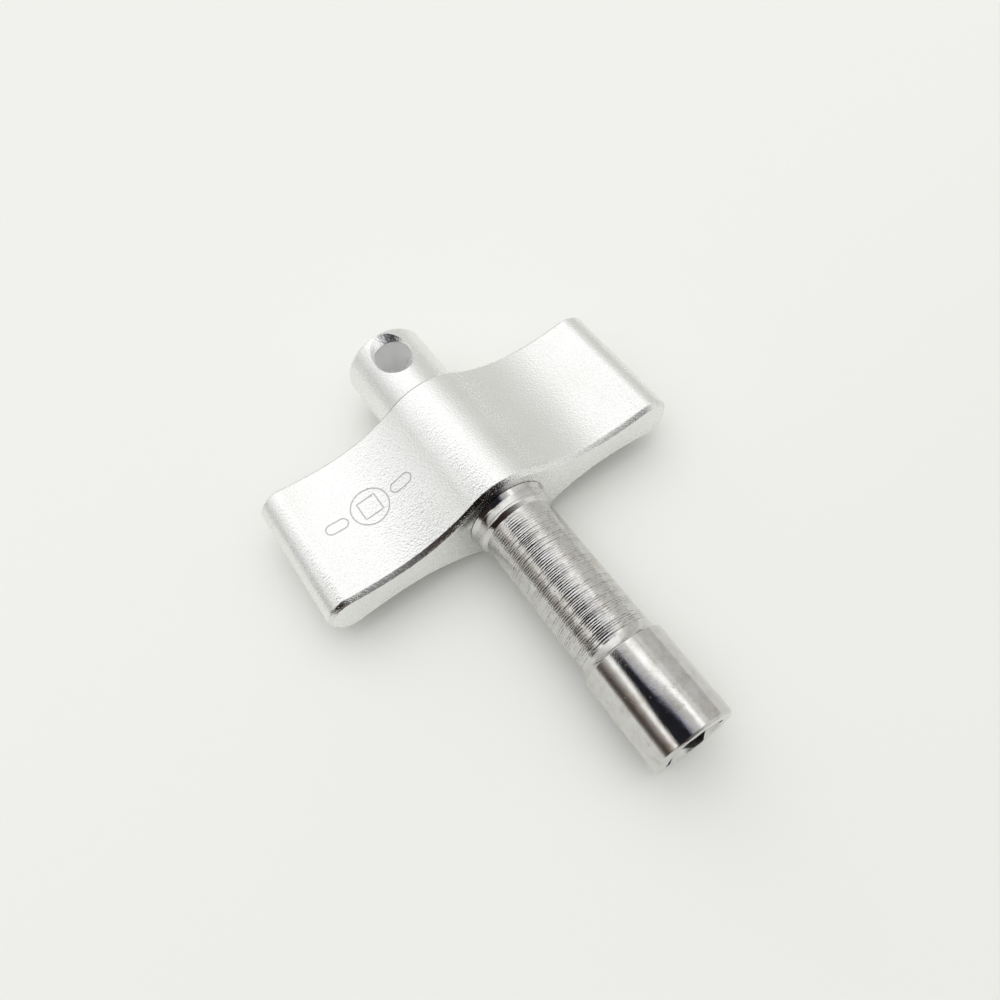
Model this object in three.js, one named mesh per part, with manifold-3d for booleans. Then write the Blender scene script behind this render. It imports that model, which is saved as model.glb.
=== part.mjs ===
// Wing-handled key with a square socket, for turning small square spindles by hand.
//
// Frame, in millimetres: the origin is the centre of the socket's mouth. The key is pushed onto its
// spindle along -Y, so +Y runs up the shaft to the handle and the key-ring lug. The wings span X, and
// Z is square to the flat of the wings.
import * as THREE from "three";
import { mergeVertices } from "three/addons/utils/BufferGeometryUtils.js";
import Module from "manifold-3d";

const wasm = await Module();
wasm.setup();

// ---------------------------------------------------------------- driving dimensions
// Handle: two wings blended into a round hub, cut to length along the shaft.
const SPAN = 50;
const HUB_THICKNESS = 14.2;
const HUB_CROWN_RADIUS = 8.2;
const WAIST_THICKNESS = 5;
const WAIST_FROM_AXIS = 15.3;
const TIP_RADIUS = 3.05;
const HANDLE_DEPTH = 18.7;
const EDGE_BEVEL = 0.57;
const BORE_DIAMETER = 8;

// Socket shaft, stations measured from the mouth.
const HEAD_DIAMETER = 10.45;
const HEAD_LENGTH = 11.7;
const HEAD_EDGE = 0.25;
const HEAD_REAR_EDGE = 0.15;
const HEAD_FLARE_LENGTH = 1.2;
const SQUARE_ACROSS_FLATS = 5.8;
const SQUARE_DEPTH = 10;
const SQUARE_TURN = 20;
const MOUTH_SINK_DIAMETER = 7;
const MOUTH_SINK_SLOPE = 45;
const BARREL_DIAMETER = 9.3;
const FLANGE_DIAMETER = 10.25;
const FLANGE_THICKNESS = 0.8;
const FLANGE_CHAMFER_LENGTH = 0.5;
const NECK_DIAMETER = 10.04;
const NECK_LENGTH = 1.65;
const SHOULDER_DIAMETER = 10.8;
const SHOULDER_FLARE_LENGTH = 0.6;
const SHAFT_LENGTH = 33.9;
const TANG_DIAMETER = 7.5;
const TANG_LENGTH = 11;
const KNURL_DIAMETER = 7.8;
const KNURL_ROOT_DIAMETER = 7.2;
const KNURL_TEETH = 32;
const KNURL_LENGTH = 6;
const KNURL_FROM_SHOULDER = 2.5;

// Key-ring lug on the handle's back face.
const LUG_DIAMETER = 11.4;
const LUG_LENGTH = 11.45;
const LUG_END_RADIUS = 0.75;
const RING_HOLE_DIAMETER = 4.8;
const RING_HOLE_FROM_HANDLE = 7.3;
const RING_HOLE_MOUTH = 7.2;
const COUNTERSINK_HALF_ANGLE = 55;
const SPIGOT_DIAMETER = 7.6;
const SPIGOT_LENGTH = 6;

// Stud that ties the lug to the shaft's tang through the bore.
const STUD_DIAMETER = 4;
const STUD_LENGTH = 11;
const STUD_CHAMFER = 0.5;
const STUD_HOLE_DIAMETER = 4.3;
const STUD_HOLE_IN_TANG = 7;
const STUD_HOLE_IN_LUG = 5;

// Facets round a full turn, and along each arc of the handle's outline. Those of the crown touch its arc
// from outside, and the middle one is square to Z, so the key stands on a narrow flat and not on an edge.
const ROUND = 64;
const SMALL_ROUND = 32;
const ARC_STEPS = 12;
const CROWN_FACETS = 2;

const HANDLE_FRONT = SHAFT_LENGTH;
const HANDLE_BACK = HANDLE_FRONT + HANDLE_DEPTH;
const rad = THREE.MathUtils.degToRad;

// ---------------------------------------------------------------- finishes
const satinAluminium = new THREE.MeshStandardMaterial({ color: 0xd9dad9, roughness: 0.42, metalness: 1 });
const chrome = new THREE.MeshStandardMaterial({ color: 0xd4d4d6, roughness: 0.12, metalness: 1 });
const plainSteel = new THREE.MeshStandardMaterial({ color: 0x8d8f92, roughness: 0.4, metalness: 1 });

// ---------------------------------------------------------------- solids
function toSolid(geometry) {
  const bare = geometry.clone();
  bare.deleteAttribute("normal");
  bare.deleteAttribute("uv");
  const merged = mergeVertices(bare, 1e-4);
  return new wasm.Manifold(
    new wasm.Mesh({
      numProp: 3,
      vertProperties: new Float32Array(merged.attributes.position.array),
      triVerts: new Uint32Array(merged.index.array),
    }),
  );
}

function toGeometry(solid) {
  const mesh = solid.getMesh();
  const geometry = new THREE.BufferGeometry();
  geometry.setAttribute("position", new THREE.BufferAttribute(mesh.vertProperties, 3));
  geometry.setIndex(new THREE.BufferAttribute(mesh.triVerts, 1));
  geometry.computeVertexNormals();
  return geometry;
}

function named(name, geometry, material) {
  const mesh = new THREE.Mesh(geometry, material);
  mesh.name = name;
  return mesh;
}

// A body turned about Y from [radius, station] pairs that start and end on the axis.
function turned(profile, segments) {
  const points = profile.map(([radius, station]) => new THREE.Vector2(radius, station));
  return new THREE.LatheGeometry(points, segments);
}

function plug(diameter, from, to, segments) {
  return turned([[0, from], [diameter / 2, from], [diameter / 2, to], [0, to]], segments);
}

// [radius, station] pairs along a circular arc, from one angle to another, both ends included.
function arc(radius, centreRadius, centreStation, fromDegrees, toDegrees, steps) {
  return Array.from({ length: steps + 1 }, (_, i) => {
    const angle = rad(fromDegrees + ((toDegrees - fromDegrees) * i) / steps);
    return [centreRadius + radius * Math.cos(angle), centreStation + radius * Math.sin(angle)];
  });
}

// [radius, station] pairs of a hollow curve that leaves the root along the shaft and rises to the lip.
function flare([rootRadius, rootStation], [lipRadius, lipStation], steps) {
  const rise = lipRadius - rootRadius;
  const run = lipStation - rootStation;
  const hollow = (rise ** 2 + run ** 2) / (2 * rise);
  const sweep = THREE.MathUtils.radToDeg(Math.asin(run / hollow));
  return arc(hollow, rootRadius + hollow, rootStation, 180, 180 - sweep, steps);
}

// ---------------------------------------------------------------- wing handle
// Quarter outline of the grip, from the side of the crown's middle facet to the middle of the wing tip.
// Four arcs meet tangentially: hub crown, inner hollow, outer hollow and round tip.
function quarterOutline() {
  const crownCentre = HUB_THICKNESS / 2 - HUB_CROWN_RADIUS;
  const waist = WAIST_THICKNESS / 2;
  const tipFromAxis = SPAN / 2 - TIP_RADIUS;
  const rise = waist - crownCentre;
  const innerChord = WAIST_FROM_AXIS ** 2 + rise ** 2 - HUB_CROWN_RADIUS ** 2;
  const innerHollow = innerChord / (2 * (HUB_CROWN_RADIUS - rise));
  const reach = tipFromAxis - WAIST_FROM_AXIS;
  const outerChord = reach ** 2 + waist ** 2 - TIP_RADIUS ** 2;
  const outerHollow = outerChord / (2 * (TIP_RADIUS - waist));
  const crownSweep = Math.asin(WAIST_FROM_AXIS / (HUB_CROWN_RADIUS + innerHollow));
  const tipSweep = Math.asin(reach / (outerHollow + TIP_RADIUS));

  const points = [];
  const sweep = (x, z, radius, from, to, steps = ARC_STEPS) => {
    for (let i = 0; i < steps; i++) {
      const angle = from + ((to - from) * i) / steps;
      points.push(new THREE.Vector2(x + radius * Math.sin(angle), z + radius * Math.cos(angle)));
    }
  };
  const facet = crownSweep / (CROWN_FACETS + 0.5);
  sweep(0, crownCentre, HUB_CROWN_RADIUS / Math.cos(facet / 2), facet / 2, crownSweep, CROWN_FACETS);
  sweep(WAIST_FROM_AXIS, waist + innerHollow, innerHollow, Math.PI + crownSweep, Math.PI);
  sweep(WAIST_FROM_AXIS, waist + outerHollow, outerHollow, Math.PI, Math.PI - tipSweep);
  sweep(tipFromAxis, 0, TIP_RADIUS, -tipSweep, Math.PI / 2);
  points.push(new THREE.Vector2(SPAN / 2, 0));
  return points;
}

function wingHandle() {
  const quarter = quarterOutline();
  const mirrored = (x, z) => quarter.slice(0, -1).map((p) => new THREE.Vector2(x * p.x, z * p.y));
  const outline = [
    ...quarter,
    ...mirrored(1, -1).reverse(),
    ...mirrored(-1, -1),
    new THREE.Vector2(-SPAN / 2, 0),
    ...mirrored(-1, 1).reverse(),
  ];
  const blank = new THREE.ExtrudeGeometry(new THREE.Shape(outline.reverse()), {
    depth: HANDLE_DEPTH - 2 * EDGE_BEVEL,
    bevelEnabled: true,
    bevelThickness: EDGE_BEVEL,
    bevelSize: EDGE_BEVEL,
    bevelOffset: -EDGE_BEVEL,
    bevelSegments: 1,
  });
  blank.rotateX(Math.PI / 2);
  blank.translate(0, HANDLE_BACK - EDGE_BEVEL, 0);
  const bore = plug(BORE_DIAMETER, HANDLE_FRONT - 1, HANDLE_BACK + 1, ROUND);
  return named("wing_handle", toGeometry(toSolid(blank).subtract(toSolid(bore))), satinAluminium);
}

// ---------------------------------------------------------------- socket shaft
function knurledBand() {
  const outline = [];
  for (let i = 0; i < KNURL_TEETH * 2; i++) {
    const radius = (i % 2 ? KNURL_ROOT_DIAMETER : KNURL_DIAMETER) / 2;
    const angle = (i * Math.PI) / KNURL_TEETH;
    outline.push(new THREE.Vector2(radius * Math.cos(angle), radius * Math.sin(angle)));
  }
  const band = new THREE.ExtrudeGeometry(new THREE.Shape(outline), {
    depth: KNURL_LENGTH,
    bevelEnabled: false,
  });
  band.rotateX(Math.PI / 2);
  band.translate(0, HANDLE_FRONT + KNURL_FROM_SHOULDER + KNURL_LENGTH, 0);
  return band;
}

function socketShaft() {
  const head = HEAD_DIAMETER / 2;
  const barrel = BARREL_DIAMETER / 2;
  const flange = FLANGE_DIAMETER / 2;
  const neck = NECK_DIAMETER / 2;
  const shoulder = SHOULDER_DIAMETER / 2;
  const tang = TANG_DIAMETER / 2;
  const tangEnd = HANDLE_FRONT + TANG_LENGTH;
  const flangeBack = HANDLE_FRONT - NECK_LENGTH;
  const flangeFront = flangeBack - FLANGE_THICKNESS;
  const headLip = [head - HEAD_REAR_EDGE, HEAD_LENGTH];

  const bar = turned(
    [
      [0, 0],
      [head - HEAD_EDGE, 0],
      [head, HEAD_EDGE],
      [head, HEAD_LENGTH - HEAD_REAR_EDGE],
      ...flare([barrel, HEAD_LENGTH + HEAD_FLARE_LENGTH], headLip, 5).reverse(),
      [barrel, flangeFront],
      [flange, flangeFront + FLANGE_CHAMFER_LENGTH],
      [flange, flangeBack],
      [neck, flangeBack],
      [neck, HANDLE_FRONT - SHOULDER_FLARE_LENGTH],
      [shoulder, HANDLE_FRONT],
      [tang, HANDLE_FRONT],
      [tang, tangEnd - STUD_CHAMFER],
      [tang - STUD_CHAMFER, tangEnd],
      [0, tangEnd],
    ],
    ROUND,
  );

  const square = new THREE.BoxGeometry(SQUARE_ACROSS_FLATS, SQUARE_DEPTH + 1, SQUARE_ACROSS_FLATS);
  square.rotateY(rad(45 - SQUARE_TURN));
  square.translate(0, (SQUARE_DEPTH - 1) / 2, 0);
  const steepness = Math.tan(rad(MOUTH_SINK_SLOPE));
  const countersink = turned(
    [
      [0, -1],
      [MOUTH_SINK_DIAMETER / 2 + 1 / steepness, -1],
      [0, (MOUTH_SINK_DIAMETER / 2) * steepness],
    ],
    ROUND,
  );
  const drill = SQUARE_ACROSS_FLATS / 2;
  const drillPoint = turned(
    [
      [0, SQUARE_DEPTH - 1],
      [drill, SQUARE_DEPTH - 1],
      [drill, SQUARE_DEPTH],
      [0, SQUARE_DEPTH + drill / 2],
    ],
    SMALL_ROUND,
  );
  const studHole = plug(STUD_HOLE_DIAMETER, tangEnd - STUD_HOLE_IN_TANG, tangEnd + 1, SMALL_ROUND);

  const solid = toSolid(bar)
    .add(toSolid(knurledBand()))
    .subtract(toSolid(square))
    .subtract(toSolid(countersink))
    .subtract(toSolid(drillPoint))
    .subtract(toSolid(studHole));
  return named("socket_shaft", toGeometry(solid), chrome);
}

// ---------------------------------------------------------------- key-ring lug
function ringHole() {
  const bore = RING_HOLE_DIAMETER / 2;
  const mouth = RING_HOLE_MOUTH / 2;
  const crown = LUG_DIAMETER / 2;
  const sink = (mouth - bore) / Math.tan(rad(COUNTERSINK_HALF_ANGLE));
  const above = 2;
  const flare = mouth + above * Math.tan(rad(COUNTERSINK_HALF_ANGLE));
  const cutter = turned(
    [
      [0, -crown - above],
      [flare, -crown - above],
      [bore, -crown + sink],
      [bore, crown - sink],
      [flare, crown + above],
      [0, crown + above],
    ],
    ROUND,
  );
  cutter.rotateX(Math.PI / 2);
  cutter.translate(0, HANDLE_BACK + RING_HOLE_FROM_HANDLE, 0);
  return cutter;
}

function keyringLug() {
  const radius = LUG_DIAMETER / 2;
  const end = HANDLE_BACK + LUG_LENGTH;
  const spigot = SPIGOT_DIAMETER / 2;
  const spigotFront = HANDLE_BACK - SPIGOT_LENGTH;
  const body = turned(
    [
      [0, spigotFront],
      [spigot - STUD_CHAMFER, spigotFront],
      [spigot, spigotFront + STUD_CHAMFER],
      [spigot, HANDLE_BACK],
      [radius, HANDLE_BACK],
      ...arc(LUG_END_RADIUS, radius - LUG_END_RADIUS, end - LUG_END_RADIUS, 0, 90, 4),
      [0, end],
    ],
    ROUND,
  );
  const studHole = plug(STUD_HOLE_DIAMETER, spigotFront - 1, spigotFront + STUD_HOLE_IN_LUG, SMALL_ROUND);
  const solid = toSolid(body).subtract(toSolid(ringHole())).subtract(toSolid(studHole));
  return named("keyring_lug", toGeometry(solid), satinAluminium);
}

// ---------------------------------------------------------------- tie stud
function tieStud() {
  const radius = STUD_DIAMETER / 2;
  const middle = (HANDLE_FRONT + TANG_LENGTH + HANDLE_BACK - SPIGOT_LENGTH) / 2;
  const from = middle - STUD_LENGTH / 2;
  const to = middle + STUD_LENGTH / 2;
  const stud = turned(
    [
      [0, from],
      [radius - STUD_CHAMFER, from],
      [radius, from + STUD_CHAMFER],
      [radius, to - STUD_CHAMFER],
      [radius - STUD_CHAMFER, to],
      [0, to],
    ],
    SMALL_ROUND,
  );
  return named("tie_stud", stud, plainSteel);
}

const key = new THREE.Group();
key.add(wingHandle(), socketShaft(), keyringLug(), tieStud());

export default key;
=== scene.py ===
# Wing-handled square-socket key: fine meshes, materials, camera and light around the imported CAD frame.
# Lengths are in millimetres until a mesh is made. The frame's +Y runs up the shaft from the socket's
# mouth, the wings span X, and Z is square to the wings.
import math
import random

import bmesh
import bpy
from mathutils import Matrix, Vector

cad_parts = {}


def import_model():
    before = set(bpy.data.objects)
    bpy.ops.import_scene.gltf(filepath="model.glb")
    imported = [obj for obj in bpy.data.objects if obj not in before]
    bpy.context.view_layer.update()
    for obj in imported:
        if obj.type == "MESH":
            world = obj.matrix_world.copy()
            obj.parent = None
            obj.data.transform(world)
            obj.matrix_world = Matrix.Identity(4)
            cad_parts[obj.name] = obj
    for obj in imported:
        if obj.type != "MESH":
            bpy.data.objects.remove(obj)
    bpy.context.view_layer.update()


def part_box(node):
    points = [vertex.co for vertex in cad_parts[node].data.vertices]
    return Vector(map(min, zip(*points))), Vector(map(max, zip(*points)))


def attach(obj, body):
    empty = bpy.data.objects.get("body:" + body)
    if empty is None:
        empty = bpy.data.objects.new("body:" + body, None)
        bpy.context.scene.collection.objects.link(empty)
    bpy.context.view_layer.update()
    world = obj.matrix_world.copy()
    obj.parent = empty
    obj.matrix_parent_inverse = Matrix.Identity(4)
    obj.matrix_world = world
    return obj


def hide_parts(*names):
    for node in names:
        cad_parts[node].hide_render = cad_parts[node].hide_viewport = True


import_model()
MM = 0.001


def box_mm(node):
    low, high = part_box(node)
    return low / MM, high / MM


HANDLE_LOW, HANDLE_HIGH = box_mm("wing_handle")
_, SHAFT_HIGH = box_mm("socket_shaft")
LUG_LOW, LUG_HIGH = box_mm("keyring_lug")
STUD_LOW, STUD_HIGH = box_mm("tie_stud")

# ---------------------------------------------------------------- dimensions
# Handle outline, as in the CAD: hub crown, inner hollow, outer hollow and round tip.
HALF_SPAN = HANDLE_HIGH.x
HALF_HUB = HANDLE_HIGH.z
HANDLE_FRONT = HANDLE_LOW.y
HANDLE_BACK = HANDLE_HIGH.y
CROWN_RADIUS = 8.2
HALF_WAIST = 2.5
WAIST_FROM_AXIS = 15.3
TIP_RADIUS = 3.05
EDGE_BEVEL = 0.57
BORE_RADIUS = 4
EDGE_BREAK = 0.05

# Socket shaft, stations from the mouth.
HEAD_RADIUS = 5.225
HEAD_LENGTH = 11.7
HEAD_EDGE = 0.25
HALF_SQUARE = 2.9
SQUARE_DEPTH = 10
DRILL_POINT_LENGTH = 1.45
SQUARE_CORNER = 0.6
MOUTH_SINK_RADIUS = 3.5
MOUTH_SINK_SLOPE = math.radians(45)
SQUARE_TURN = math.radians(20)
BARREL_RADIUS = 4.65
HEAD_LIP_RADIUS = 5.075
FLARE_END = 12.9
FLANGE_RADIUS = 5.125
FLANGE_FRONT = 31.45
FLANGE_BACK = 32.25
FLANGE_LAND = 0.3
NECK_RADIUS = 5.02
SHOULDER_FLARE_LENGTH = 0.6
SHOULDER_RADIUS = SHAFT_HIGH.x
UNDERCUT_DEPTH = 0.35
UNDERCUT_WIDTH = 0.04
TANG_RADIUS = 3.75
TANG_END = SHAFT_HIGH.y
TANG_CHAMFER = 0.5
KNURL_FROM = HANDLE_FRONT + 2.5
KNURL_TO = KNURL_FROM + 6
KNURL_RUN_OUT = 0.2
KNURL_DEPTH = 0.15
KNURL_TEETH = 32
GROOVE_PITCH = 0.283
GROOVE_DEPTH = 0.05
GROOVES_FROM = 13.0
GROOVES_TO = 31.0
GROOVES_FADE = 1.2

# Key-ring lug and the stud that holds it.
LUG_RADIUS = LUG_HIGH.x
LUG_END = LUG_HIGH.y
LUG_END_RADIUS = 0.75
LUG_FOOT_EDGE = 0.12
SPIGOT_FRONT = LUG_LOW.y
SPIGOT_RADIUS = 3.8
SPIGOT_CHAMFER = 0.5
HOLE_RADIUS = 2.4
HOLE_STATION = HANDLE_BACK + 7.3
HOLE_MOUTH_RADIUS = 3.6
COUNTERSINK_HALF_ANGLE = math.radians(55)
STUD_HOLE_RADIUS = 2.15
STUD_HOLE_POINT = 0.6
STUD_HOLE_IN_SHAFT = 7
STUD_HOLE_IN_LUG = 5
STUD_RADIUS = STUD_HIGH.x
STUD_PITCH = 0.7
STUD_THREAD_DEPTH = 0.3
STUD_END_TAPER = 0.35
STUD_END_LENGTH = 0.5

# The pictogram on the left wing, the key seen from its end.
MARK_CENTRE = (-13.5, 43.5)
MARK_RING_RADIUS = 2.45
MARK_HALF_SQUARE = 1.25
MARK_BAR_FROM_CENTRE = 4.6
MARK_BAR_HALF_LENGTH = 0.75
MARK_BAR_RADIUS = 0.7
MARK_LINE = 0.19
MARK_DEPTH = 0.03

# Points round a turned surface, and the slots of each piece's list of materials.
ROUND = 128
SATIN, BEVEL, ETCHED = 0, 1, 2
PLATE, GROOVED, WALL = 0, 1, 2
BLASTED, DRILLED = 0, 1


# ---------------------------------------------------------------- mesh helpers
def mesh_object(name, bm, materials):
    bmesh.ops.remove_doubles(bm, verts=bm.verts, dist=1e-5)
    bmesh.ops.recalc_face_normals(bm, faces=bm.faces)
    bmesh.ops.scale(bm, vec=Vector((MM, MM, MM)), verts=bm.verts)
    mesh = bpy.data.meshes.new(name)
    bm.to_mesh(mesh)
    bm.free()
    for material in materials:
        mesh.materials.append(material)
    obj = bpy.data.objects.new(name, mesh)
    bpy.context.scene.collection.objects.link(obj)
    return obj


def loft(bm, rings, material_of=lambda band: 0):
    """Joins rings of points into bands of quads. A ring of one point closes an end."""
    made = [[bm.verts.new(point) for point in ring] for ring in rings]
    for band, (a, b) in enumerate(zip(made, made[1:])):
        count = max(len(a), len(b))
        for i in range(count):
            j = (i + 1) % count
            corners = [a[i % len(a)], a[j % len(a)], b[j % len(b)], b[i % len(b)]]
            face = bm.faces.new(list(dict.fromkeys(corners)))
            face.material_index = material_of(band)


def turns(count):
    return [2 * math.pi * i / count for i in range(count)]


def circle(radius, station, count=ROUND, radius_at=None):
    """A ring round the shaft's axis. radius_at gives what to add to the radius at an angle."""
    points = []
    for angle in turns(count):
        r = radius + (radius_at(angle) if radius_at else 0)
        points.append(Vector((r * math.cos(angle), station, r * math.sin(angle))))
    return points


def softened(corners, steps=4):
    """(radius, station, corner radius) triples as a profile whose corners are small arcs."""
    points = []
    for i, (r, y, soft) in enumerate(corners):
        here = Vector((r, y))
        if not soft:
            points.append(here)
            continue
        before = (Vector(corners[i - 1][:2]) - here).normalized()
        after = (Vector(corners[i + 1][:2]) - here).normalized()
        half = before.angle(after) / 2
        start = here + before * (soft / math.tan(half))
        centre = here + (before + after).normalized() * (soft / math.sin(half))
        turn = (start - centre).angle_signed(here + after * (soft / math.tan(half)) - centre)
        for k in range(steps + 1):
            points.append(centre + Matrix.Rotation(-turn * k / steps, 2) @ (start - centre))
    return points


def flare(root, lip, steps=12):
    """A hollow curve that leaves the root along the shaft and rises to the lip, both (radius, station)."""
    rise, run = lip[0] - root[0], lip[1] - root[1]
    hollow = (rise**2 + run**2) / (2 * rise)
    sweep = math.asin(run / hollow)
    points = []
    for k in range(steps + 1):
        angle = sweep * k / steps
        points.append(Vector((root[0] + hollow * (1 - math.cos(angle)), root[1] + hollow * math.sin(angle))))
    return points


def finished(obj, sharp_angle, weighted=False):
    """Smooth shading, with the edges that turn by more than sharp_angle degrees left sharp."""
    mesh = obj.data
    mesh.polygons.foreach_set("use_smooth", [True] * len(mesh.polygons))
    mesh.set_sharp_from_angle(angle=math.radians(sharp_angle))
    if weighted:
        smooth = obj.modifiers.new("weighted normals", "WEIGHTED_NORMAL")
        smooth.keep_sharp = True
    return obj


def cut(obj, cutter):
    """Takes the cutter's solid out of the piece. The cut faces keep the cutter's material slots."""
    tool = obj.modifiers.new("cut", "BOOLEAN")
    tool.operation = "DIFFERENCE"
    tool.solver = "EXACT"
    tool.object = cutter
    tool.material_mode = "INDEX"
    graph = bpy.context.evaluated_depsgraph_get()
    made = bpy.data.meshes.new_from_object(obj.evaluated_get(graph))
    obj.modifiers.clear()
    obj.data = made
    bpy.data.objects.remove(cutter)


# ---------------------------------------------------------------- node helpers
class Graph:
    """A node tree built from sockets and numbers."""

    def __init__(self, tree):
        self.tree = tree
        tree.nodes.clear()

    def node(self, kind, inputs=None, **settings):
        made = self.tree.nodes.new(kind)
        for name, value in settings.items():
            setattr(made, name, value)
        for name, value in (inputs or {}).items():
            self.feed(made.inputs[name], value)
        return made

    def feed(self, socket, value):
        if isinstance(value, bpy.types.NodeSocket):
            self.tree.links.new(value, socket)
        else:
            socket.default_value = value

    def math(self, operation, *values):
        made = self.node("ShaderNodeMath", operation=operation)
        for socket, value in zip(made.inputs, values):
            self.feed(socket, value)
        return made.outputs[0]

    def ease(self, value, low, high):
        """0 below low, 1 above high, and a smooth step between. low may be the greater."""
        made = self.node("ShaderNodeMapRange", interpolation_type="SMOOTHSTEP")
        for name, number in (("Value", value), ("From Min", low), ("From Max", high)):
            self.feed(made.inputs[name], number)
        return made.outputs[0]

    def ramp(self, value, stops):
        made = self.node("ShaderNodeValToRGB", {"Fac": value})
        elements = made.color_ramp.elements
        while len(elements) > 1:
            elements.remove(elements[-1])
        for i, (position, colour) in enumerate(stops):
            element = elements[0] if i == 0 else elements.new(position)
            element.position = position
            element.color = (*colour, 1)
        return made.outputs["Color"]

    def mix(self, factor, a, b):
        made = self.node("ShaderNodeMix", data_type="RGBA")
        for socket, value in ((made.inputs[0], factor), (made.inputs[6], a), (made.inputs[7], b)):
            self.feed(socket, value)
        return made.outputs[2]

    def noise(self, vector, feature_mm, detail=2.0, roughness=0.5):
        made = self.node(
            "ShaderNodeTexNoise",
            {"Vector": vector, "Scale": 1 / (feature_mm * MM), "Detail": detail, "Roughness": roughness},
        )
        return made.outputs["Fac"]

    def bump(self, height, depth_mm):
        made = self.node("ShaderNodeBump", {"Strength": 1.0, "Distance": depth_mm * MM, "Height": height})
        return made.outputs["Normal"]

    def split(self, vector):
        return self.node("ShaderNodeSeparateXYZ", {"Vector": vector}).outputs

    def stretched(self, vector, scale):
        made = self.node("ShaderNodeVectorMath", {0: vector, 1: scale}, operation="MULTIPLY")
        return made.outputs[0]

    def from_axis(self, x, z):
        squares = self.math("ADD", self.math("MULTIPLY", x, x), self.math("MULTIPLY", z, z))
        return self.math("SQRT", squares)

    def product(self, *factors):
        result = factors[0]
        for factor in factors[1:]:
            result = self.math("MULTIPLY", result, factor)
        return result


def grey(value):
    return (value, value, value)


def surface(name, metallic=1.0):
    """A new material, its graph, its Principled node and its object coordinates."""
    material = bpy.data.materials.new(name)
    material.use_nodes = True
    graph = Graph(material.node_tree)
    shader = graph.node("ShaderNodeBsdfPrincipled")
    shader.inputs["Metallic"].default_value = metallic
    graph.node("ShaderNodeOutputMaterial", {"Surface": shader.outputs[0]})
    place = graph.node("ShaderNodeTexCoord").outputs["Object"]
    return material, graph, shader, place


# ---------------------------------------------------------------- materials
def satin_aluminium():
    """Blasted and anodised: a fine grain on a soft sheen, with near-black painted shade beside the shaft.

    This painted contact shadow and dark reflection lies on the handle's front face, upper left, as a fixed
    colour.
    """
    material, g, shader, place = surface("satin_aluminium")
    cloud = g.noise(place, 5.0, 3.0)
    grain = g.noise(place, 0.26, 2.0, 0.6)
    clean = g.ramp(cloud, [(0.3, (0.84, 0.845, 0.83)), (0.7, (0.875, 0.88, 0.87))])
    x, y, z = g.split(place)
    ragged_radius = g.math("MULTIPLY_ADD", grain, 1.2 * MM, g.from_axis(x, z))
    near_shaft = g.ease(ragged_radius, 8.6 * MM, 7.2 * MM)
    at_front = g.ease(y, (HANDLE_FRONT + 0.1) * MM, HANDLE_FRONT * MM)
    upper = g.ease(z, 2.2 * MM, 4.4 * MM)
    left = g.ease(x, 1.4 * MM, -1.2 * MM)
    # Painted shade: a near-black contact shadow and dark reflection where the shaft enters the front face,
    # upper left.
    painted_shadow_by_shaft = g.product(near_shaft, at_front, upper, left, 0.93)
    g.feed(shader.inputs["Base Color"], g.mix(painted_shadow_by_shaft, clean, (0.02, 0.014, 0.014, 1)))
    g.feed(shader.inputs["Roughness"], g.math("MULTIPLY_ADD", grain, 0.2, 0.15))
    g.feed(shader.inputs["Normal"], g.bump(grain, 0.05))
    return material


def polished_bevel():
    """Cut after the anodising: bare and bright, with the cutter's chatter, and a painted dark reflection over
    the hub's left.
    """
    material, g, shader, place = surface("polished_bevel")
    chatter = g.noise(place, 0.17, 1.5, 0.6)
    bare = g.ramp(chatter, [(0.35, (0.70, 0.69, 0.68)), (0.65, (0.86, 0.86, 0.85))])
    x, _, z = g.split(place)
    upper = g.ease(z, 4.0 * MM, 5.5 * MM)
    left = g.ease(x, 1.2 * MM, -0.6 * MM)
    # Painted reflection: the bevel is darkened over the hub's upper left, where it mirrors dark surroundings.
    painted_dark_reflection = g.product(upper, left, g.ease(chatter, 0.72, 0.5))
    g.feed(shader.inputs["Base Color"], g.mix(painted_dark_reflection, bare, (0.10, 0.085, 0.085, 1)))
    g.feed(shader.inputs["Roughness"], g.math("MULTIPLY_ADD", chatter, 0.15, 0.04))
    g.feed(shader.inputs["Normal"], g.bump(chatter, 0.05))
    return material


def etched_line():
    """The mark's bottom: pale and matt, with a fine burr."""
    material, g, shader, place = surface("etched_line")
    burr = g.noise(place, 0.06, 2.0)
    g.feed(shader.inputs["Base Color"], g.ramp(burr, [(0.3, grey(0.62)), (0.7, grey(0.78))]))
    shader.inputs["Roughness"].default_value = 0.55
    g.feed(shader.inputs["Normal"], g.bump(burr, 0.01))
    return material


def machined_hole():
    """The drilled wall inside the lug: pale, finely scored, and with hardly any metallic reflection."""
    material, g, shader, place = surface("machined_hole", metallic=0.15)
    scored = g.noise(place, 0.25, 3.0, 0.6)
    g.feed(shader.inputs["Base Color"], g.ramp(scored, [(0.3, grey(0.93)), (0.7, grey(0.97))]))
    shader.inputs["Roughness"].default_value = 0.5
    g.feed(shader.inputs["Normal"], g.bump(scored, 0.02))
    return material


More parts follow.
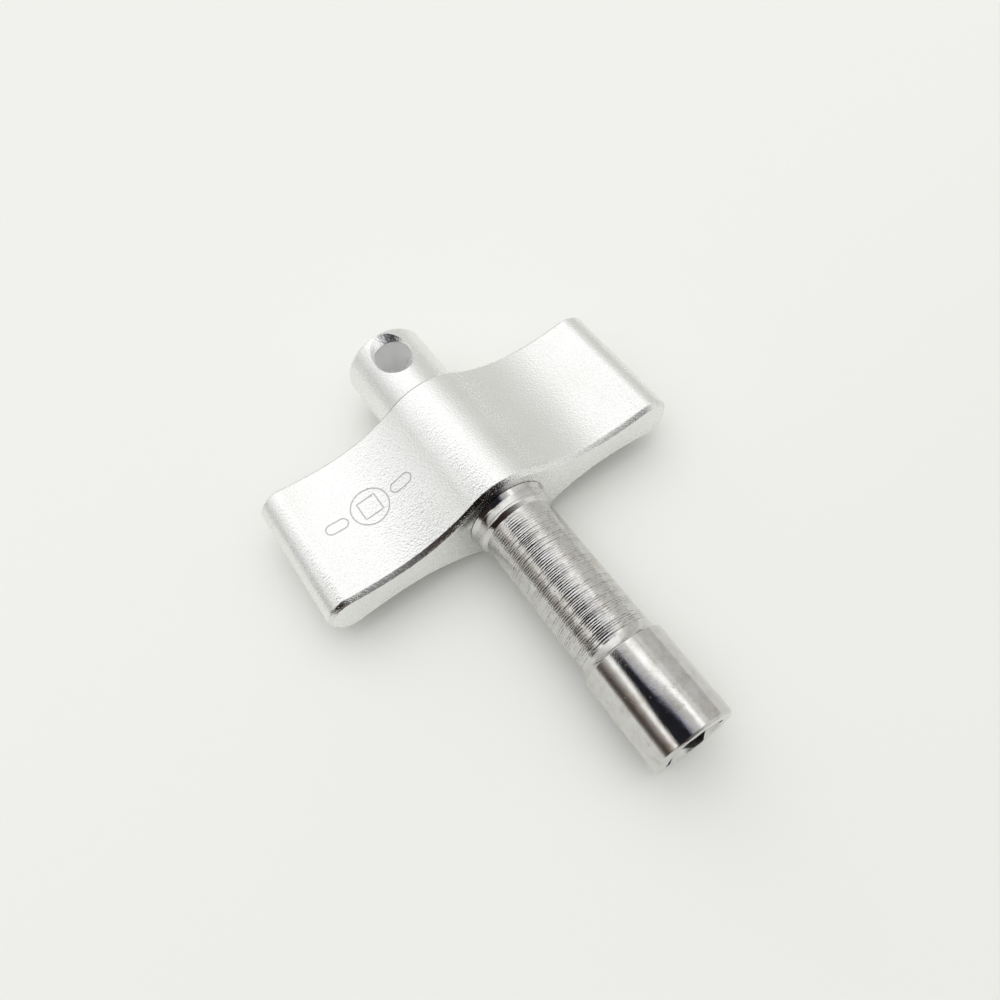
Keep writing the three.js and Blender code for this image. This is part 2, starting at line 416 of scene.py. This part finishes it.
def chrome(name, grooved=False):
    """Thin nickel-chrome plate: a little uneven and stained, with rare pits, and darker streaks in the groove
    bottoms.
    """
    material, g, shader, place = surface(name)
    stain = g.noise(place, 1.4, 4.0, 0.65)
    speck = g.noise(place, 0.14, 2.0, 0.6)
    cells = g.node("ShaderNodeTexVoronoi", {"Vector": place, "Scale": 1 / (0.8 * MM), "Randomness": 1.0})
    pit = g.ease(cells.outputs["Distance"], 0.09, 0.03)
    brown, worn, bright = (0.54, 0.52, 0.48), (0.62, 0.61, 0.595), (0.675, 0.675, 0.67)
    clean = g.ramp(stain, [(0.32, brown), (0.48, worn), (0.66, bright)])
    colour = g.mix(pit, clean, (0.2, 0.17, 0.15, 1))
    if grooved:
        streak = g.noise(g.stretched(place, (1, 3.5, 1)), 0.55, 2.0, 0.6)
        streak_height = 1.6
        x, _, z = g.split(place)
        groove_foot = (BARREL_RADIUS - GROOVE_DEPTH) * MM
        deep = g.ease(g.from_axis(x, z), (BARREL_RADIUS - 0.004) * MM, groove_foot)
        dark_groove_streaks = g.product(deep, g.ease(streak, 0.42, 0.58), 0.55)
        colour = g.mix(dark_groove_streaks, colour, (0.14, 0.125, 0.11, 1))
    else:
        streak = g.noise(g.stretched(place, (1, 0.3, 1)), 0.5, 2.0)
        streak_height = 0.15
    g.feed(shader.inputs["Base Color"], colour)
    g.feed(shader.inputs["Roughness"], g.math("MULTIPLY_ADD", stain, 0.05, 0.015))
    skin = g.math("MULTIPLY_ADD", stain, 0.25, g.math("MULTIPLY", speck, 0.38))
    skin = g.math("MULTIPLY_ADD", streak, streak_height, skin)
    skin = g.math("MULTIPLY_ADD", pit, -0.5, skin)
    g.feed(shader.inputs["Normal"], g.bump(skin, 0.02))
    return material


def socket_wall():
    """The broached square's walls, painted near-black as the shade deep inside the square."""
    material, g, shader, place = surface("socket_wall")
    torn = g.noise(place, 0.3, 3.0, 0.6)
    # Painted shade: the walls' near-black colour stands in for the shade inside the square.
    painted_wall_shade = g.ramp(torn, [(0.3, (0.10, 0.095, 0.09)), (0.7, (0.19, 0.185, 0.18))])
    g.feed(shader.inputs["Base Color"], painted_wall_shade)
    shader.inputs["Roughness"].default_value = 0.4
    g.feed(shader.inputs["Normal"], g.bump(torn, 0.03))
    return material


def plain_steel():
    """The hidden stud's bare steel, a little mottled."""
    material, g, shader, place = surface("plain_steel")
    mottle = g.noise(place, 0.3, 3.0)
    g.feed(shader.inputs["Base Color"], g.ramp(mottle, [(0.3, grey(0.42)), (0.7, grey(0.58))]))
    g.feed(shader.inputs["Roughness"], g.math("MULTIPLY_ADD", mottle, 0.2, 0.25))
    g.feed(shader.inputs["Normal"], g.bump(mottle, 0.005))
    return material


def floor_paper():
    """White card, painted a little darker in front, with a faint painted glow as if lit from every side."""
    material, g, shader, place = surface("floor_paper", metallic=0.0)
    fibre = g.noise(place, 0.6, 3.0, 0.6)
    _, y, _ = g.split(place)
    # Painted shade: the card is darker toward the front.
    painted_light_falloff = g.ease(y, -60 * MM, 90 * MM)
    tone = g.math("MULTIPLY_ADD", fibre, 0.01, g.math("MULTIPLY_ADD", painted_light_falloff, 0.055, 0.93))
    g.feed(shader.inputs["Base Color"], g.mix(tone, (0, 0, 0, 1), (0.755, 0.76, 0.73, 1)))
    shader.inputs["Roughness"].default_value = 1.0
    shader.inputs["Specular IOR Level"].default_value = 0.0
    # Painted glow: the card gives off a little light of its own, as if lit from every side.
    shader.inputs["Emission Color"].default_value = (0.98, 0.99, 0.95, 1)
    shader.inputs["Emission Strength"].default_value = 0.03
    g.feed(shader.inputs["Normal"], g.bump(fibre, 0.01))
    return material


# ---------------------------------------------------------------- wing handle
def outline_arcs():
    """The quarter outline's arcs: centre, radius, first and last angle from +Z, side of the metal, steps."""
    crown_centre = HALF_HUB - CROWN_RADIUS
    rise = HALF_WAIST - crown_centre
    inner = (WAIST_FROM_AXIS**2 + rise**2 - CROWN_RADIUS**2) / (2 * (CROWN_RADIUS - rise))
    tip_from_axis = HALF_SPAN - TIP_RADIUS
    reach = tip_from_axis - WAIST_FROM_AXIS
    outer = (reach**2 + HALF_WAIST**2 - TIP_RADIUS**2) / (2 * (TIP_RADIUS - HALF_WAIST))
    crown_sweep = math.asin(WAIST_FROM_AXIS / (CROWN_RADIUS + inner))
    tip_sweep = math.asin(reach / (outer + TIP_RADIUS))
    return [
        ((0, crown_centre), CROWN_RADIUS, 0, crown_sweep, 1, 18),
        ((WAIST_FROM_AXIS, HALF_WAIST + inner), inner, math.pi + crown_sweep, math.pi, -1, 28),
        ((WAIST_FROM_AXIS, HALF_WAIST + outer), outer, math.pi, math.pi - tip_sweep, -1, 12),
        ((tip_from_axis, 0), TIP_RADIUS, -tip_sweep, math.pi / 2, 1, 24),
    ]


def handle_ring(inset, station):
    """The whole outline, moved in by inset, as points round the shaft's axis."""
    quarter = []
    for (x, z), radius, first, last, side, steps in outline_arcs():
        for i in range(steps):
            angle = first + (last - first) * i / steps
            r = radius - side * inset
            quarter.append((x + r * math.sin(angle), z + r * math.cos(angle)))
    tip = (HALF_SPAN - inset, 0)
    top = [(-x, z) for x, z in quarter[:0:-1]] + quarter
    low = [(x, -z) for x, z in quarter[:0:-1]] + [(-x, -z) for x, z in quarter]
    points = top + [tip] + low + [(-tip[0], 0)]
    return [Vector((x, station, z)) for x, z in points]


def top_height(x):
    """Height of the handle's top surface over the hollows, at x from the axis."""
    for (cx, cz), radius, first, last, _, _ in outline_arcs()[1:3]:
        end = cx + radius * math.sin(first if first > math.pi else last)
        if min(cx, end) <= abs(x) <= max(cx, end):
            return cz - math.sqrt(radius**2 - (abs(x) - cx) ** 2)
    return HALF_WAIST


def bevel_profile():
    """(inset, distance in from the end face) down one bevel, with its two edges slightly broken."""
    slope = EDGE_BREAK / math.sqrt(2)
    return [
        (EDGE_BEVEL + EDGE_BREAK, 0),
        (EDGE_BEVEL + EDGE_BREAK * 0.3, EDGE_BREAK * 0.1),
        (EDGE_BEVEL - slope, slope),
        (slope, EDGE_BEVEL - slope),
        (EDGE_BREAK * 0.1, EDGE_BEVEL + EDGE_BREAK * 0.3),
        (0, EDGE_BEVEL + EDGE_BREAK),
    ]


def mark_paths():
    """The mark's closed outlines: a round hub, a square in it, and a bar with round ends on each side."""
    hub = [(MARK_RING_RADIUS * math.cos(a), MARK_RING_RADIUS * math.sin(a)) for a in turns(72)]
    side = MARK_HALF_SQUARE
    corners = [Vector((side, side)), Vector((-side, side)), Vector((-side, -side)), Vector((side, -side))]
    square = []
    side_steps = 8
    for start, end in zip(corners, corners[1:] + corners[:1]):
        square += [tuple(start.lerp(end, i / side_steps)) for i in range(side_steps)]
    paths = [hub, square]
    arc_steps = 12
    for direction in (-1, 1):
        bar = []
        for end, first in ((1, -math.pi / 2), (-1, math.pi / 2)):
            arc_centre = direction * MARK_BAR_FROM_CENTRE + end * MARK_BAR_HALF_LENGTH
            for i in range(arc_steps + 1):
                angle = first + math.pi * i / arc_steps
                reach = arc_centre + MARK_BAR_RADIUS * math.cos(angle)
                bar.append((reach, MARK_BAR_RADIUS * math.sin(angle)))
        paths.append(bar)
    return paths


def mark_cutter():
    """One thin wall along each line of the mark, whose foot lies MARK_DEPTH under the wing's surface."""
    bm = bmesh.new()
    place = Matrix.Translation((*MARK_CENTRE, 0))
    for path in mark_paths():
        count = len(path)
        sides = {-1: [], 1: []}
        for i in range(count):
            here = Vector(path[i])
            along = (Vector(path[(i + 1) % count]) - Vector(path[i - 1])).normalized()
            across = Vector((along.y, -along.x)) * MARK_LINE / 2
            for side in sides:
                sides[side].append(place @ (here + across * side).to_3d())
        rings = []
        clear = 0.3
        for side, above in ((-1, -MARK_DEPTH), (1, -MARK_DEPTH), (1, clear), (-1, clear)):
            rings.append([Vector((p.x, p.y, top_height(p.x) + above)) for p in sides[side]])
        loft(bm, rings + rings[:1], lambda band: ETCHED)
    return mesh_object("mark_cutter", bm, [])


def wing_handle(materials):
    bm = bmesh.new()
    front = [(inset, HANDLE_FRONT + y) for inset, y in bevel_profile()]
    back = [(inset, HANDLE_BACK - y) for inset, y in bevel_profile()][::-1]
    stations = front + back
    rings = [handle_ring(inset, y) for inset, y in stations]
    bevel_bands = (2, len(stations) - 4)
    loft(bm, rings, lambda band: BEVEL if band in bevel_bands else SATIN)
    bore = [[bm.verts.new(p) for p in circle(BORE_RADIUS, y)] for y in (HANDLE_FRONT, HANDLE_BACK)]
    for i in range(ROUND):
        j = (i + 1) % ROUND
        bm.faces.new((bore[0][i], bore[0][j], bore[1][j], bore[1][i]))
    for station in (HANDLE_FRONT, HANDLE_BACK):
        open_edges = [e for e in bm.edges if e.is_boundary]
        end = [e for e in open_edges if all(abs(v.co.y - station) < 1e-6 for v in e.verts)]
        bmesh.ops.triangle_fill(bm, edges=end, use_beauty=True)
    obj = mesh_object("grip", bm, materials)
    cut(obj, mark_cutter())
    return finished(obj, 25, weighted=True)


# ---------------------------------------------------------------- socket shaft
def square_ring(half, station, corner):
    """A square with round corners, as ROUND points, the first of them nearest to +X."""
    points = []
    arc_steps = 9
    side_steps = ROUND // 4 - arc_steps
    inner = half - corner
    for k in range(4):
        turn = Matrix.Rotation(SQUARE_TURN - math.pi / 4 + k * math.pi / 2, 2)
        for i in range(arc_steps):
            angle = math.pi / 2 * i / (arc_steps - 1)
            points.append(turn @ Vector((inner + corner * math.cos(angle), inner + corner * math.sin(angle))))
        for i in range(side_steps):
            along = inner - 2 * inner * (i + 1) / (side_steps + 1)
            points.append(turn @ Vector((along, half)))
    first = min(range(ROUND), key=lambda i: abs(math.atan2(points[i].y, points[i].x)))
    return [Vector((p.x, station, p.y)) for p in points[first:] + points[:first]]


def mouth_rings():
    """The square's edge in the countersink, deepest in the middle of each side, and the edge round both."""
    sunk, rim = [], []
    for p in square_ring(HALF_SQUARE, 0, SQUARE_CORNER):
        reach = math.hypot(p.x, p.z)
        depth = max(0, MOUTH_SINK_RADIUS - reach) * math.tan(MOUTH_SINK_SLOPE)
        sunk.append(Vector((p.x, depth, p.z)))
        rim.append(p * max(1, MOUTH_SINK_RADIUS / reach))
    return [sunk, rim]


def knurl(angle):
    """The knurl's straight teeth, as a rise and fall about the tang's radius."""
    phase = (angle * KNURL_TEETH / (2 * math.pi)) % 1
    return KNURL_DEPTH * (2 * abs(2 * phase - 1) - 1)


def groove_profile():
    """The barrel's fine turned grooves, uneven in depth and spacing, fading out before the flange."""
    luck = random.Random(11)
    points = []
    station = GROOVES_FROM
    while station < GROOVES_TO:
        pitch = GROOVE_PITCH * luck.uniform(0.75, 1.25)
        fade = min(1, (GROOVES_TO - station) / GROOVES_FADE)
        depth = GROOVE_DEPTH * luck.choice((0.35, 0.6, 0.8, 1.0, 1.35)) * fade
        for share, sink in ((0, 0), (0.22, 0.15), (0.4, 0.85), (0.5, 1), (0.6, 0.85), (0.78, 0.15)):
            points.append(Vector((BARREL_RADIUS - depth * sink, station + share * pitch)))
        station += pitch
    return points


def flange_profile():
    """Thin collar with a wide chamfer in front."""
    return softened(
        [
            (BARREL_RADIUS, FLANGE_FRONT - 0.3, 0),
            (BARREL_RADIUS, FLANGE_FRONT, 0.06),
            (FLANGE_RADIUS, FLANGE_BACK - FLANGE_LAND, 0.08),
            (FLANGE_RADIUS, FLANGE_BACK, 0.05),
            (NECK_RADIUS, FLANGE_BACK + 0.1, 0),
        ]
    )


def socket_shaft(materials):
    rings = [
        [Vector((0, SQUARE_DEPTH + DRILL_POINT_LENGTH, 0))],
        circle(HALF_SQUARE - 0.05, SQUARE_DEPTH),
        square_ring(HALF_SQUARE, SQUARE_DEPTH, SQUARE_CORNER),
        *mouth_rings(),
    ]
    head = softened(
        [
            (HEAD_RADIUS - HEAD_EDGE - 0.1, 0, 0),
            (HEAD_RADIUS - HEAD_EDGE, 0, 0.06),
            (HEAD_RADIUS, HEAD_EDGE, 0.06),
            (HEAD_RADIUS, HEAD_LENGTH - 0.15, 0.05),
            (HEAD_LIP_RADIUS, HEAD_LENGTH, 0),
        ]
    )
    flank = flare((BARREL_RADIUS, FLARE_END), (HEAD_LIP_RADIUS, HEAD_LENGTH))[:-1][::-1]
    shoulder = softened(
        [
            (NECK_RADIUS, FLANGE_BACK + 0.2, 0),
            (NECK_RADIUS, HANDLE_FRONT - SHOULDER_FLARE_LENGTH, 0.25),
            (SHOULDER_RADIUS, HANDLE_FRONT - UNDERCUT_WIDTH - 0.01, 0),
            (SHOULDER_RADIUS - UNDERCUT_DEPTH, HANDLE_FRONT - UNDERCUT_WIDTH, 0),
            (SHOULDER_RADIUS - UNDERCUT_DEPTH, HANDLE_FRONT, 0),
            (TANG_RADIUS, HANDLE_FRONT, 0),
        ]
    )
    grooves = groove_profile()
    profile = head + flank + grooves + flange_profile() + shoulder
    wall_bands = range(3)
    first_groove = len(rings) + len(head) + len(flank)
    groove_bands = range(first_groove, first_groove + len(grooves))
    rings += [circle(p.x, p.y) for p in profile]
    rings += [circle(TANG_RADIUS, KNURL_FROM - KNURL_RUN_OUT)]
    rings += [circle(TANG_RADIUS, y, radius_at=knurl) for y in (KNURL_FROM, KNURL_TO)]
    rings += [circle(TANG_RADIUS, KNURL_TO + KNURL_RUN_OUT)]
    rings += [circle(TANG_RADIUS, TANG_END - TANG_CHAMFER), circle(TANG_RADIUS - TANG_CHAMFER, TANG_END)]
    hole_bottom = TANG_END - STUD_HOLE_IN_SHAFT
    rings += [circle(STUD_HOLE_RADIUS, TANG_END), circle(STUD_HOLE_RADIUS, hole_bottom)]
    rings += [[Vector((0, hole_bottom - STUD_HOLE_POINT, 0))]]
    bm = bmesh.new()
    loft(bm, rings, lambda band: GROOVED if band in groove_bands else WALL if band in wall_bands else PLATE)
    obj = mesh_object("shaft", bm, materials)
    return finished(obj, 32)


# ---------------------------------------------------------------- key-ring lug
def ring_hole_cutter():
    """The cross hole, with a countersink at each mouth that runs on past the lug."""
    sink = (HOLE_MOUTH_RADIUS - HOLE_RADIUS) / math.tan(COUNTERSINK_HALF_ANGLE)
    above = 1.0
    flaring = above * math.tan(COUNTERSINK_HALF_ANGLE)
    upper = softened(
        [
            (HOLE_MOUTH_RADIUS + flaring, LUG_RADIUS + above, 0),
            (HOLE_RADIUS, LUG_RADIUS - sink, 0.12),
            (HOLE_RADIUS, 0, 0),
        ]
    )
    rings = [[Vector((0, HOLE_STATION, LUG_RADIUS + above))]]
    for radius, height in [tuple(p) for p in upper] + [(p.x, -p.y) for p in upper[-2::-1]]:
        around = [(radius * math.cos(a), HOLE_STATION + radius * math.sin(a)) for a in turns(96)]
        rings.append([Vector((x, y, height)) for x, y in around])
    rings.append([Vector((0, HOLE_STATION, -LUG_RADIUS - above))])
    cone_bands = len(upper) - 2
    drilled_bands = range(cone_bands + 1, len(rings) - cone_bands - 2)
    bm = bmesh.new()
    loft(bm, rings, lambda band: DRILLED if band in drilled_bands else BLASTED)
    return mesh_object("hole_cutter", bm, [])


def keyring_lug(materials):
    profile = softened(
        [
            (STUD_HOLE_RADIUS, SPIGOT_FRONT + STUD_HOLE_IN_LUG, 0),
            (STUD_HOLE_RADIUS, SPIGOT_FRONT, 0),
            (SPIGOT_RADIUS - SPIGOT_CHAMFER, SPIGOT_FRONT, 0),
            (SPIGOT_RADIUS, SPIGOT_FRONT + SPIGOT_CHAMFER, 0),
            (SPIGOT_RADIUS, HANDLE_BACK, 0),
            (LUG_RADIUS - LUG_FOOT_EDGE, HANDLE_BACK, 0),
            (LUG_RADIUS, HANDLE_BACK + LUG_FOOT_EDGE, 0.06),
            (LUG_RADIUS, LUG_END, LUG_END_RADIUS),
            (1, LUG_END, 0),
        ],
        steps=10,
    )
    rings = [[Vector((0, SPIGOT_FRONT + STUD_HOLE_IN_LUG + STUD_HOLE_POINT, 0))]]
    rings += [circle(p.x, p.y) for p in profile]
    rings += [[Vector((0, LUG_END, 0))]]
    bm = bmesh.new()
    loft(bm, rings)
    obj = mesh_object("lug", bm, materials)
    cut(obj, ring_hole_cutter())
    return finished(obj, 30, weighted=True)


# ---------------------------------------------------------------- tie stud
def tie_stud(materials):
    """A headless stud with a real helical thread."""
    first, last = STUD_LOW.y, STUD_HIGH.y
    steps_per_turn = 8
    count = int((last - first) / (STUD_PITCH / steps_per_turn))
    rings = [[Vector((0, first, 0))]]
    for k in range(count + 1):
        station = first + (last - first) * k / count
        full = min(1, (station - first) / STUD_END_LENGTH, (last - station) / STUD_END_LENGTH)

        def thread(angle, station=station):
            phase = (station / STUD_PITCH + angle / (2 * math.pi)) % 1
            return -STUD_THREAD_DEPTH * (1 - abs(2 * phase - 1))

        rings.append(circle(STUD_RADIUS - STUD_END_TAPER * (1 - full), station, 48, thread))
    rings.append([Vector((0, last, 0))])
    bm = bmesh.new()
    loft(bm, rings)
    obj = mesh_object("stud", bm, materials)
    return finished(obj, 40)


# ---------------------------------------------------------------- stage
def floor():
    """A card so wide that its edge is out of sight."""
    size = 2000
    bm = bmesh.new()
    corners = [(-size, -size), (size, -size), (size, size), (-size, size)]
    bm.faces.new([bm.verts.new((x, y, HANDLE_LOW.z)) for x, y in corners])
    mesh_object("floor", bm, [floor_paper()])


# The room that the metal mirrors, as radiance, set so that the metal shows the bands it has from
# the camera. It is not an even studio light: its front is dark, so the handle's top looks dark from behind.
# Angles are degrees round the shaft, from +X over +Z.
PEAK = 1.8
WARM = (1.0, 0.99, 0.955)
BROWN = (1.0, 0.86, 0.77)
NAVY = (0.92, 0.95, 1.25)
PLAIN = (1.0, 1.0, 0.99)
BACKDROP = (0.85, 0.86, 0.82)
OVERHEAD = 2.95
ALL_ROUND = 0.10
# ROOM_LOW is met by rays that leave square to the shaft, ROOM_HIGH by rays that lean up it.
ROOM_LOW = [
    (-90, 0.86, PLAIN),
    (-30, 0.86, WARM),
    (-5, 0.74, WARM),
    (8, 0.60, WARM),
    (22, 0.67, WARM),
    (40, 0.68, WARM),
    (47, 0.90, PLAIN),
    (50, 0.95, PLAIN),
    (53, 0.74, WARM),
    (56, 1.15, PLAIN),
    (60, 1.50, PLAIN),
    (67, 1.60, PLAIN),
    (70, 0.92, PLAIN),
    (78, 0.74, PLAIN),
    (90, 0.55, PLAIN),
    (95, 0.42, NAVY),
    (99, 0.05, NAVY),
    (104, 0.02, NAVY),
    (130, 0.025, NAVY),
    (133, 0.50, PLAIN),
    (136, 1.20, WARM),
    (142, 1.40, WARM),
    (147, 0.62, WARM),
    (153, 0.38, BROWN),
    (162, 0.12, BROWN),
    (170, 0.09, BROWN),
    (175, 0.24, BROWN),
    (180, 0.62, WARM),
    (195, 0.78, PLAIN),
    (270, 0.86, PLAIN),
]
ROOM_HIGH = [
    (-90, 0.80, PLAIN),
    (0, 0.71, WARM),
    (30, 0.70, WARM),
    (46, 0.75, WARM),
    (56, 0.88, PLAIN),
    (66, 1.06, PLAIN),
    (76, 1.27, PLAIN),
    (100, 1.30, PLAIN),
    (120, 1.20, PLAIN),
    (140, 0.88, PLAIN),
    (160, 0.66, PLAIN),
    (200, 0.62, PLAIN),
    (270, 0.80, PLAIN),
]
# What the front bevels mirror, along X: near-black brown at the left, lighter and lighter to the right.
FRONT = [
    (-0.60, (0.030, 0.022, 0.022)),
    (-0.35, (0.045, 0.028, 0.026)),
    (-0.20, (0.060, 0.040, 0.037)),
    (-0.05, (0.110, 0.098, 0.094)),
    (0.10, (0.220, 0.215, 0.210)),
    (0.22, (0.310, 0.305, 0.300)),
    (0.30, (0.540, 0.540, 0.530)),
    (0.45, (0.680, 0.680, 0.670)),
    (0.58, (0.900, 0.900, 0.890)),
    (0.70, (0.960, 0.960, 0.950)),
]
# How far the dark shape overhead narrows per unit of Y, at angles round the shaft, and where along Y.
NARROWING = [(50, 0), (66, 60), (80, 120), (104, 120), (118, 0), (126, -60), (140, -40), (150, 0)]
NARROWING_RANGE = (-60, 120)
NARROWS_AT = 0.12
NARROWS_FROM = -0.03
NARROWS_TO = 0.1


def round_room(g, turn, table):
    """The radiance, as a share of PEAK, of the room at an angle round the shaft."""
    share = g.math("DIVIDE", g.math("FLOORED_MODULO", g.math("ADD", turn, 90), 360), 360)
    stops = []
    for angle, value, tint in table:
        stops.append(((angle + 90) / 360, tuple(value * part / PEAK for part in tint)))
    return g.ramp(share, stops)


def narrowed(g, turn, y):
    """The angle at which the room is looked up, so that the dark shape overhead tapers along Y."""
    low, high = NARROWING_RANGE
    stops = [(angle / 180, grey((value - low) / (high - low))) for angle, value in NARROWING]
    stops = [(0, grey(-low / (high - low)))] + stops
    rate = g.math("MULTIPLY_ADD", g.ramp(g.math("DIVIDE", turn, 180), stops), high - low, low)
    beyond = g.math("SUBTRACT", y, NARROWS_AT)
    step = g.node("ShaderNodeClamp", {"Value": beyond, "Min": NARROWS_FROM, "Max": NARROWS_TO})
    return g.math("SUBTRACT", turn, g.math("MULTIPLY", rate, step.outputs[0]))


def world():
    """Three lights by kind of ray: glossy rays meet the room, diffuse ones an overhead glow, and the
    camera's own a plain backdrop.
    """
    made = bpy.data.worlds.new("studio")
    bpy.context.scene.world = made
    made.use_nodes = True
    g = Graph(made.node_tree)
    direction = g.node("ShaderNodeTexCoord").outputs["Generated"]
    x, y, z = g.split(direction)
    turn = g.math("DEGREES", g.math("ARCTAN2", z, x))
    low = round_room(g, narrowed(g, turn, y), ROOM_LOW)
    high = round_room(g, turn, ROOM_HIGH)
    room = g.mix(g.ease(y, 0.30, 0.42), low, high)

    folds = g.node("ShaderNodeTexNoise", {"Vector": direction, "Scale": 7.0, "Detail": 2.0}).outputs["Fac"]
    across = g.math("ADD", x, g.math("MULTIPLY_ADD", folds, 0.5, -0.25))
    stops = [((place + 1) / 2, tuple(part / PEAK for part in colour)) for place, colour in FRONT]
    front = g.ramp(g.math("MULTIPLY_ADD", across, 0.5, 0.5), stops)
    ahead_and_low = g.product(g.ease(y, -0.40, -0.55), g.ease(z, 0.66, 0.56))
    room = g.mix(ahead_and_low, room, front)

    height = g.math("POWER", g.math("MAXIMUM", z, 0), 4)
    overhead = g.math("MULTIPLY_ADD", height, OVERHEAD, ALL_ROUND)
    path = g.node("ShaderNodeLightPath").outputs
    room = g.mix(path["Is Diffuse Ray"], room, g.math("DIVIDE", overhead, PEAK))
    room = g.mix(path["Is Camera Ray"], room, (*(part / PEAK for part in BACKDROP), 1))
    background = g.node("ShaderNodeBackground", {"Color": room, "Strength": PEAK})
    g.node("ShaderNodeOutputWorld", {"Surface": background.outputs[0]})


CAMERA_FROM = (-21.243, -8.424, 87.130)
CAMERA_AT = (0.2410, 36.0376, 0)
CAMERA_ROLL = math.radians(39.0047)
CAMERA_LENS = 29.227


def camera():
    """Looks down at the shaft from in front and the left, rolled from the view that has +Y upward."""
    data = bpy.data.cameras.new("camera")
    data.lens = CAMERA_LENS
    data.sensor_width = 36
    data.clip_start = 0.002
    data.clip_end = 20
    obj = bpy.data.objects.new("camera", data)
    forward = (Vector(CAMERA_AT) - Vector(CAMERA_FROM)).normalized()
    right = forward.cross(Vector((0, 1, 0))).normalized()
    level = Matrix((right, right.cross(forward), -forward)).transposed()
    turn = level @ Matrix.Rotation(-CAMERA_ROLL, 3, "Z")
    obj.matrix_world = Matrix.Translation(Vector(CAMERA_FROM) * MM) @ turn.to_4x4()
    bpy.context.scene.collection.objects.link(obj)
    bpy.context.scene.camera = obj


camera()
world()
floor()
bpy.context.scene.view_settings.view_transform = "Standard"

satin = satin_aluminium()
shaft_metals = [chrome("chrome_plate"), chrome("grooved_chrome", grooved=True), socket_wall()]
pieces = {
    "wing_handle": (wing_handle([satin, polished_bevel(), etched_line()]), "satin_aluminium"),
    "socket_shaft": (socket_shaft(shaft_metals), "chrome_steel"),
    "keyring_lug": (keyring_lug([satin, machined_hole()]), "satin_aluminium"),
    "tie_stud": (tie_stud([plain_steel()]), "plain_steel"),
}
for node, (piece, finish) in pieces.items():
    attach(piece, "root")
    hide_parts(node)
